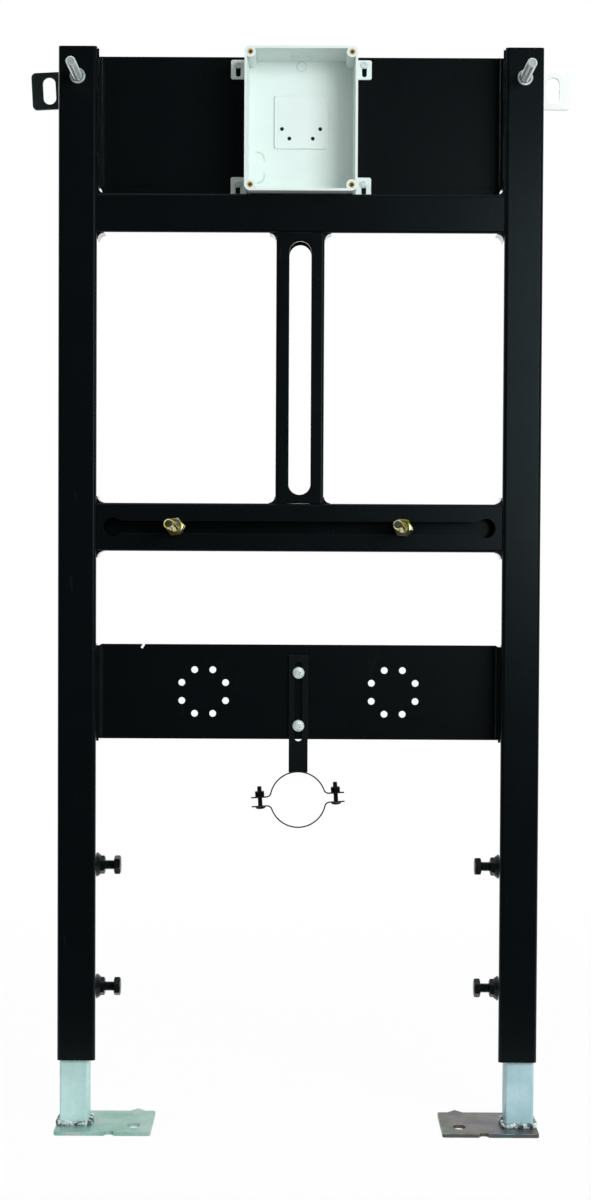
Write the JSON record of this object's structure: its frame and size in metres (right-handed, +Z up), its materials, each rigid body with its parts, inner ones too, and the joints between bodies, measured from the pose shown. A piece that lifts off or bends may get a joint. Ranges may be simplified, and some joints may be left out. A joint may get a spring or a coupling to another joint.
{
  "type": "urinal installation frame",
  "caption": "Free-standing steel frame with telescoping legs, rails and panels that carries a wall-hung urinal, its flush valve box and its drain pipe.",
  "frame": {"origin": "on the floor, midway between the posts and midway between the front and back of the whole frame", "axes": "+X to the right seen from the front, +Y back to the wall, +Z up"},
  "size_m": [0.5707, 0.135, 1.123],
  "materials": {
    "black_coat": "satin black stove enamel on steel tube",
    "black_sheet": "satin black stove enamel on sheet steel",
    "black_small": "black coated small steel pieces",
    "white_plastic": "white moulded plastic, satin",
    "brass": "turned brass",
    "yellow_zinc": "yellow zinc plated steel, silver tips",
    "galvanised": "galvanised steel tube, bluish green",
    "green_zinc": "zinc plated steel, greenish sheen",
    "violet_zinc": "zinc plated steel, pink and violet sheen",
    "weld_metal": "bright zinc over a rough weld bead",
    "grey_zinc": "dark grey-green zinc",
    "bright_zinc": "bright zinc plated steel"
  },
  "bodies": {
    "frame": {"post_left": "black_coat", "post_right": "black_coat", "upper_rail": "black_coat", "mounting_rail": "black_coat", "slotted_bar": "black_coat", "weld_fillets": "black_coat", "top_panel": "black_sheet", "drain_panel": "black_sheet", "rod_bushes": "bright_zinc", "rod_nuts": "bright_zinc", "valve_box": "white_plastic", "box_inserts": "brass", "box_screws": "bright_zinc", "lock_bolts": "black_small", "lock_nuts": "black_coat", "hanger_bolts": "bright_zinc", "hanger_nuts": "bright_zinc"},
    "wall_fixing_left": {"wall_rod_left": "bright_zinc", "wall_bracket_left": "grey_zinc", "bracket_nut_left": "bright_zinc"},
    "wall_fixing_right": {"wall_rod_right": "bright_zinc", "wall_bracket_right": "bright_zinc", "bracket_nut_right": "bright_zinc"},
    "bolt_left": {"urinal_bolt_left": "yellow_zinc", "urinal_nut_left": "yellow_zinc"},
    "bolt_right": {"urinal_bolt_right": "yellow_zinc", "urinal_nut_right": "yellow_zinc"},
    "drain_clamp": {"hanger_strap": "black_small", "clamp_upper": "black_small", "clamp_lower": "black_small", "clamp_screws": "bright_zinc", "clamp_nuts": "bright_zinc"},
    "leg_left": {"leg_tube_left": "galvanised", "foot_plate_left": "green_zinc", "foot_weld_left": "weld_metal"},
    "leg_right": {"leg_tube_right": "galvanised", "foot_plate_right": "violet_zinc", "foot_weld_right": "weld_metal"}
  },
  "joints": [
    {"name": "leg_left_slide", "type": "slide", "parent": "frame", "child": "leg_left", "axis": [0, 0, -1], "range_m": [-0.06, 0.13]},
    {"name": "leg_right_slide", "type": "slide", "parent": "frame", "child": "leg_right", "axis": [0, 0, -1], "range_m": [-0.06, 0.13]},
    {"name": "wall_rod_left_slide", "type": "slide", "parent": "frame", "child": "wall_fixing_left", "axis": [0, 1, 0], "range_m": [-0.004, 0.04]},
    {"name": "wall_rod_right_slide", "type": "slide", "parent": "frame", "child": "wall_fixing_right", "axis": [0, 1, 0], "range_m": [-0.004, 0.04]},
    {"name": "bolt_left_slide", "type": "slide", "parent": "frame", "child": "bolt_left", "axis": [1, 0, 0], "range_m": [-0.04, 0.105]},
    {"name": "bolt_right_slide", "type": "slide", "parent": "frame", "child": "bolt_right", "axis": [1, 0, 0], "range_m": [-0.085, 0.06]},
    {"name": "drain_clamp_slide", "type": "slide", "parent": "frame", "child": "drain_clamp", "axis": [0, 0, 1], "range_m": [-0.008, 0.012]}
  ]
}
